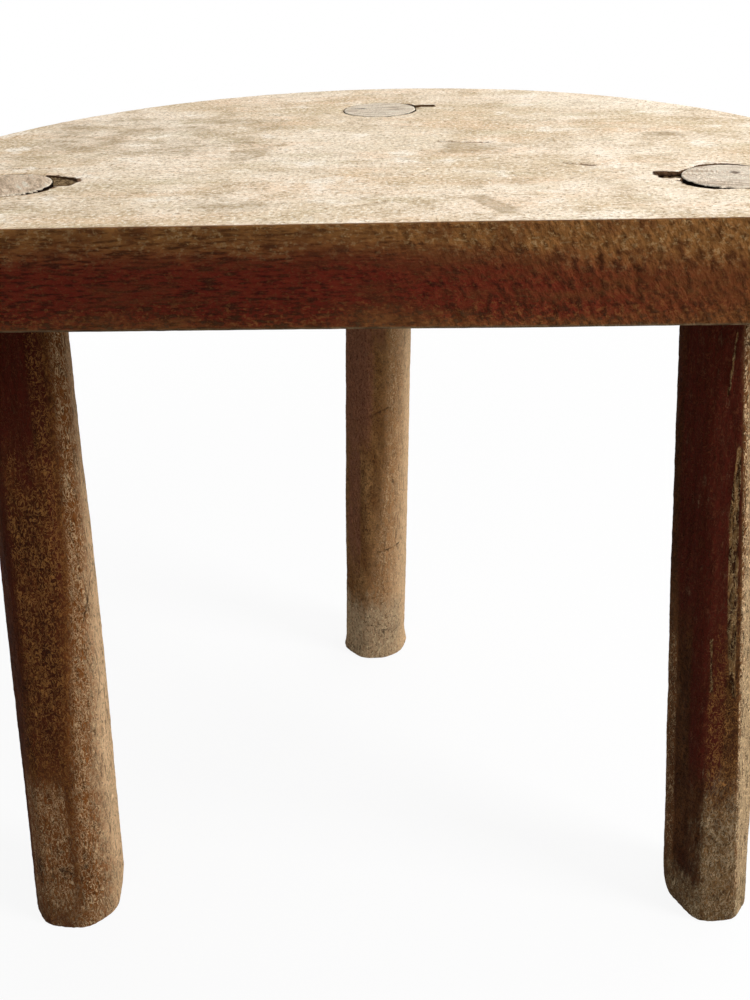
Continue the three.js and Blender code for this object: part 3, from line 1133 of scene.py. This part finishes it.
def stained_edge(tree, x, depth, strokes, grit, smudges):
    """The edge's colour: dark red in its middle, browner to the right and at the arrises.
    The strokes are fibres to the left and the rasp's slanting lumps to the right."""
    broad = grain(tree, (40, 30, 10), 4, shift=0.5)
    marks = curls(tree, (3.6, 3.0, 1.5), 0.07, shift=0.4)
    middle = layers(
        tree, "#6a2417",
        ("#2e100a", strokes, 0.46, 0.62, 0.9),
        ("#5f331c", broad, 0.46, 0.68, 0.75),
        ("#7d4a2a", grit, 0.55, 0.72, 0.55),
    )
    right = layers(
        tree, "#6b3d1f",
        ("#391d0d", strokes, 0.46, 0.64, 0.6),
        ("#84592f", grit, 0.54, 0.70, 0.5),
    )
    rubbed = layers(
        tree, "#8e6134",
        ("#4a2c14", strokes, 0.45, 0.64, 0.85),
        ("#b59263", grit, 0.52, 0.66, 0.85),
        ("#5c3219", smudges, 0.46, 0.66, 0.5),
    )
    torn = ragged(tree, ragged(tree, depth, broad, 16 * MM), strokes, 11 * MM)
    reach = add(tree, "MapRange", x, 0.0, 0.18, 0.0, 7 * MM)
    torn_top = add(tree, "Math", torn, reach, operation="SUBTRACT")
    pitted = add(tree, "MapRange", depth, 22 * MM, 31 * MM, 0.3, 1.0)
    pits = add(tree, "MapRange", grit, 0.52, 0.62, 0.0, 1.0)
    pits = add(tree, "Math", pits, pitted, operation="MULTIPLY")
    specks = add(tree, "MapRange", grit, 0.46, 0.36, 0.0, 1.0)
    specks = add(tree, "Math", specks, pitted, operation="MULTIPLY")
    return layers(
        tree, middle,
        (right, ragged(tree, x, broad, 0.16), 0.01, 0.15, 0.95),
        (rubbed, torn_top, 14.5 * MM, 2 * MM, 0.9),
        (rubbed, torn, 27 * MM, 36 * MM, 0.5),
        ("#7d5830", within(tree, marks, grit), 0.3, 1.0, 0.3),
        ("#27110a", pits, 0.0, 1.0, 0.65),
        ("#8b5a31", specks, 0.0, 1.0, 0.55),
    )


def leg_patterns(tree, frayed):
    """The patterns of a leg's wood, from long streaks down to a fuzz of lifted fibres. The
    lace is of pale curled fibres, and only where the leg is frayed."""
    wood = SimpleNamespace(
        streaks=grain(tree, (2.6, 2.6, 40), 4),
        body=grain(tree, (8, 8, 18), 4, shift=0.9),
        fibres=grain(tree, (0.9, 0.9, 5), 3),
        mottle=grain(tree, (5, 5, 8), 5, shift=0.3),
        fuzz=grain(tree, (1.2, 1.2, 1.7), 4, shift=0.6),
        cracks=grain(tree, (1.1, 1.1, 9), 5, shift=0.4),
        creases=curls(tree, (2.4, 2.4, 3.4), 0.09, shift=0.7),
        scrawl=curls(tree, (1.8, 1.8, 4.0), 0.07, shift=0.2),
    )
    lines = add(tree, "Math", curls(tree, (1.7, 1.7, 3.0), 0.07), frayed, operation="MULTIPLY")
    wood.lace = within(tree, lines, wood.mottle)
    return wood


def stained_wood(tree, facts, colours, stain, wood):
    """The leg's shaded side: dark brown wood, what is left of its red stain, and lace."""
    deep, light = facts["wood"]
    faded, most_faded = facts["stain"]
    red = layers(
        tree, tuple(colours.stain),
        ("#2b0e07", wood.streaks, 0.44, 0.68, 0.5),
        (faded, wood.fuzz, 0.26, 0.50, most_faded),
        ("#1c0805", wood.creases, 0.2, 0.9, 0.25),
        ("#7a4e30", wood.scrawl, 0.3, 1.0, 0.22),
    )
    stained = ragged(tree, ragged(tree, stain, wood.mottle, 0.7), wood.fuzz, 0.5)
    return layers(
        tree, deep,
        (light, wood.body, 0.30, 0.70),
        ("#2a1509", wood.streaks, 0.54, 0.76, 0.3),
        ("#1c0c05", wood.fuzz, 0.52, 0.64, 0.6),
        ("#170a04", wood.creases, 0.2, 0.9, 0.4),
        (red, stained, 0.25, 0.9),
        ("#a4713d", wood.lace, 0.08, 0.7, 0.65),
    )


def worn_bare_and_lit(tree, colour, facts, bare, wood):
    """A colour worn through to tan wood towards the light, with dark pores and pale hairs. The
    tan has a shaded copy and a paler lit copy, the lit one being painted light.
    """
    shaded, pale = facts["bare"]
    worn = ragged(tree, ragged(tree, bare, wood.mottle, 0.35), wood.fuzz, 0.4)
    rubbed = add(tree, "MapRange", bare, 0.1, 0.4, 0.0, 1.0)
    pores = add(tree, "Math", wood.cracks, wood.fuzz, operation="MAXIMUM")
    pores = add(tree, "MapRange", pores, 0.53, 0.63)
    pores = add(tree, "Math", pores, rubbed, operation="MULTIPLY")
    hairs = add(tree, "Math", wood.lace, wood.scrawl, operation="MAXIMUM")
    hairs = add(tree, "Math", hairs, rubbed, operation="MULTIPLY")
    return layers(
        tree, colour,
        # Painted light: the shaded tan first, then the paler lit tan where the side turns to the lamp
        (shaded, worn, 0.05, 0.60),
        (pale, worn, 0.50, 1.05),
        ("#32200f", pores, 0.0, 1.0, facts["pitted"]),
        ("#ecca9c", hairs, 0.3, 1.0, facts["pitted"]),
    )


def aged(tree, colour, facts, marks, wood):
    """A colour greyed at the foot, darker in patches, nicked, and torn where the scar is."""
    foot_colour, most = facts["foot_wood"]
    foot = layers(
        tree, foot_colour,
        ("#37260f", wood.fuzz, 0.47, 0.64, 0.8),
        ("#d6bf99", wood.scrawl, 0.1, 0.8, 0.7),
    )
    torn = layers(
        tree, "#30190b",
        ("#7d5c38", wood.cracks, 0.40, 0.62),
        ("#c8a878", wood.scrawl, 0.3, 1.0, 0.5),
    )
    greyed = ragged(tree, ragged(tree, marks.dusty, wood.mottle, 1.2), wood.cracks, 1.0)
    darker_patches = ragged(tree, ragged(tree, marks.dark, wood.mottle, 1.4), wood.fuzz, 1.0)
    return layers(
        tree, colour,
        (foot, greyed, 0.1, 1.0, most),
        ("#23140a", darker_patches, 0.40, 1.1, 0.75),
        ("#2a180c", ragged(tree, marks.nick, wood.fuzz, 0.8), 0.15, 0.8, 0.85),
        (torn, ragged(tree, marks.scar, wood.fuzz, 1.0), 0.2, 0.9),
    )


def leg_wood(name, leg, facts, colours):
    """Ash, hewn and once stained red-brown. Its fibres have lifted in fine curls, and the
    stain has worn to bare tan wood towards the light and to grey at the foot. The bare side
    is painted paler where it turns to the lamp, as painted light, and the tenon's side is
    painted with shade where it shows just under the seat's top."""
    made = material(f"Ash, hewn and stained, {name} leg")
    tree = made.node_tree
    marks = SimpleNamespace()
    for key in LEG_MARKS:
        setattr(marks, key, add(tree, "Attribute", attribute_name=key, output="Fac"))
    wood = leg_patterns(tree, marks.frayed)
    colour = stained_wood(tree, facts, colours, marks.stain, wood)
    colour = worn_bare_and_lit(tree, colour, facts, marks.bare, wood)
    colour = aged(tree, colour, facts, marks, wood)
    in_seat = below_top(tree)
    colour = layers(
        tree, colour,
        # Painted shade on the tenon's side where it shows in the gaps just under the seat's top; its
        # sawn end is laid over this
        ("#1a100a", in_seat, 9 * MM, 5 * MM),
        (tenon_end(tree, leg, facts, wood.fuzz), in_seat, 0.62 * MM, 0.42 * MM),
    )
    roughness = add(tree, "MapRange", wood.streaks, 0.3, 0.7, 0.75, 0.95)
    bumps = (
        (wood.mottle, 0.5), (wood.fibres, 0.5), (wood.fuzz, 0.7), (wood.cracks, 0.6),
        (wood.lace, 0.4), (wood.scrawl, 0.3),
    )
    surface(tree, colour, roughness, bumps)
    return made


def tenon_end(tree, leg, facts, fuzz):
    """The tenon's sawn end: growth rings round its pith, saw marks, a dark check and a painted
    highlight round its rim."""
    here = add(tree, "TexCoord", output="Object")
    centre = leg.top + Vector((*facts["pith"], 0)) * MM
    from_pith = add(tree, "Mapping", here, -centre)
    rings = add(
        tree, "TexWave", from_pith, WAVE_PERIOD / GROWTH_RING, 1.5, 2.0, 40.0, output="Fac",
        wave_type="RINGS", rings_direction="Z",
    )
    saw = grain(tree, (13, 2.4, 5), 4, turn=(0, 0, math.radians(-facts["saw"])))
    heart_x, heart_y, half_x, half_y = facts["heart"]
    heart = leg.top + Vector((heart_x, heart_y, 0)) * MM
    from_heart = add(tree, "Mapping", here, -heart)
    from_heart = add(tree, "Mapping", from_heart, None, None, (1 / half_x / MM, 1 / half_y / MM, 0))
    away = add(tree, "VectorMath", from_heart, (0, 0, 0), operation="DISTANCE", output="Value")
    out = add(tree, "VectorMath", here, tuple(leg.top), operation="DISTANCE", output="Value")
    plain, ringed = facts["end"]
    return layers(
        tree, plain,
        (ringed, rings, 0.35, 0.95, 0.6),
        ("#b3977a", saw, 0.50, 0.62, 0.6),
        ("#fff3de", saw, 0.47, 0.36, 0.8),
        ("#75593d", fuzz, 0.58, 0.70, 0.35),
        ("#4b3421", ragged(tree, away, fuzz, 1.6), 1.1, 0.4, 0.75),
        # Painted highlight round the rim of the sawn end
        ("#fff2dc", ragged(tree, out, fuzz, 5 * MM), leg.tenon - 1.6 * MM, leg.tenon, 0.6),
    )


def wedge_wood(name):
    """Ash, split, with coarse dark torn fibres, and painted shade where it lies deep below the
    seat's top.
    """
    made = material(f"Ash, split and dirty, {name} wedge")
    tree = made.node_tree
    fibres = grain(tree, (5, 0.9, 4), 5)
    crumbs = grain(tree, (1.4, 1.0, 1.0), 3)
    painted_shade_depth = ragged(tree, below_top(tree), crumbs, 1 * MM)
    colour = layers(
        tree, "#4a3723",
        ("#8d7657", fibres, 0.38, 0.62),
        ("#b79c75", crumbs, 0.58, 0.72, 0.7),
        ("#2a1c11", crumbs, 0.46, 0.34, 0.7),
        # Painted shade where the wedge lies deep below the seat's top
        ("#1a0f08", painted_shade_depth, 1.4 * MM, 2.4 * MM),
    )
    surface(tree, colour, 0.9, ((fibres, 0.6), (crumbs, 0.4)))
    return made


def floor_paint():
    """Matt white floor. It looks white to the camera but keeps the stool's soft shadow."""
    made = material("Matt white floor")
    tree = made.node_tree
    here = add(tree, "TexCoord", output="Object")
    away = add(tree, "VectorMath", here, (0, 0, 0), operation="DISTANCE", output="Value")
    fade = add(tree, "MapRange", away, 0.25, 0.8, 0.91, 1.0, interpolation_type="SMOOTHSTEP")
    share = add(tree, "Math", seen_ray(tree), fade, operation="MULTIPLY")
    diffuse = add(tree, "BsdfDiffuse", (0.8, 0.8, 0.8, 1))
    glow = add(tree, "Emission", (1, 1, 1, 1), 1.0)
    add(tree, "OutputMaterial", add(tree, "MixShader", share, diffuse, glow))
    return made


def seen_ray(tree):
    """1 for rays from the camera and for what gloss and glass show, 0 for light."""
    seen = add(tree, "LightPath", output="Is Camera Ray")
    for ray in ("Is Glossy Ray", "Is Transmission Ray"):
        also = add(tree, "LightPath", output=ray)
        seen = add(tree, "Math", seen, also, operation="MAXIMUM")
    return seen


# Stage

def make_camera():
    """The photograph's view: a lens of about 41 mm, looking down a little."""
    data = bpy.data.cameras.new("camera")
    camera = bpy.data.objects.new("camera", data)
    bpy.context.collection.objects.link(camera)
    turn = Matrix.Rotation(math.radians(CAMERA_YAW), 3, "Z")
    turn = turn @ Matrix.Rotation(math.radians(90 - CAMERA_PITCH), 3, "X")
    turn = turn @ Matrix.Rotation(math.radians(-CAMERA_ROLL), 3, "Z")
    camera.matrix_world = Matrix.Translation(Vector(CAMERA_PLACE) * MM) @ turn.to_4x4()
    data.lens = FOCAL_PIXELS / PICTURE[1] * data.sensor_width
    data.shift_x = (PICTURE[0] / 2 - CENTRE_PIXEL[0]) / PICTURE[1]
    data.shift_y = (CENTRE_PIXEL[1] - PICTURE[1] / 2) / PICTURE[1]
    data.clip_start = 0.01
    bpy.context.scene.camera = camera


def make_lamp(name, place, side, power):
    """A square soft lamp aimed at the stool."""
    data = bpy.data.lights.new(name, "AREA")
    data.size = side
    data.energy = power
    lamp = bpy.data.objects.new(name, data)
    bpy.context.collection.objects.link(lamp)
    lamp.location = place
    lamp.rotation_mode = "QUATERNION"
    lamp.rotation_quaternion = (Vector((0, 0, 0.2)) - Vector(place)).to_track_quat("-Z", "Y")


def make_world():
    """White to the camera, and an even dim light to the stool."""
    world = bpy.data.worlds.new("studio")
    world.use_nodes = True
    world.node_tree.nodes.clear()
    tree = world.node_tree
    strength = add(tree, "MapRange", seen_ray(tree), 0.0, 1.0, 0.3, 1.0)
    add(tree, "OutputWorld", add(tree, "Background", (1, 1, 1, 1), strength))
    bpy.context.scene.world = world


class STOOL_OT_stage(bpy.types.Operator):
    """Lay the pale floor, hang the lamps and set the camera"""

    bl_idname = "stool.stage"
    bl_label = "Stage"

    def execute(self, context):
        floor = start("floor", bpy.ops.mesh.primitive_plane_add, size=30, location=(0, 0, 0))
        bpy.ops.object.transform_apply(location=True, rotation=True, scale=True)
        floor.data.materials.append(floor_paint())
        for name, (place, side, power) in LAMPS.items():
            make_lamp(name, place, side, power)
        make_world()
        make_camera()
        context.scene.view_settings.view_transform = "Standard"
        return {"FINISHED"}


# Add-on

class StoolSizes(bpy.types.PropertyGroup):
    seat_wear: bpy.props.FloatProperty(
        name="Seat wear", description="How far the seat's arrises are worn round",
        default=1.0 * MM, min=0.2 * MM, max=6 * MM, subtype="DISTANCE", unit="LENGTH",
    )


class StoolColours(bpy.types.PropertyGroup):
    bleached: bpy.props.FloatVectorProperty(
        name="Bleached top", description="The palest wood of the seat's top",
        size=4, default=linear("#f3e2cb"), min=0, max=1, subtype="COLOR",
    )
    stain: bpy.props.FloatVectorProperty(
        name="Stain", description="The dark red-brown left of the legs' old stain",
        size=4, default=linear("#46170c"), min=0, max=1, subtype="COLOR",
    )


class STOOL_PT_panel(bpy.types.Panel):
    """The stool's sizes, colours and pieces"""

    bl_label = "Milking Stool"
    bl_space_type = "VIEW_3D"
    bl_region_type = "UI"
    bl_category = "Stool"

    def draw(self, context):
        scene = context.scene
        for group in (scene.stool_sizes, scene.stool_colours):
            for key in group.__annotations__:
                self.layout.prop(group, key)
        for operator in OPERATORS:
            self.layout.operator(operator.bl_idname)


OPERATORS = (STOOL_OT_seat, STOOL_OT_legs, STOOL_OT_wedges, STOOL_OT_stage)
CLASSES = (StoolSizes, StoolColours, *OPERATORS, STOOL_PT_panel)


def register():
    for cls in CLASSES:
        bpy.utils.register_class(cls)
    bpy.types.Scene.stool_sizes = bpy.props.PointerProperty(type=StoolSizes)
    bpy.types.Scene.stool_colours = bpy.props.PointerProperty(type=StoolColours)


def unregister():
    del bpy.types.Scene.stool_colours
    del bpy.types.Scene.stool_sizes
    for cls in reversed(CLASSES):
        bpy.utils.unregister_class(cls)


def main():
    register()
    bpy.ops.stool.seat()
    bpy.ops.stool.legs()
    bpy.ops.stool.wedges()
    bpy.ops.stool.stage()


if __name__ == "__main__":
    main()
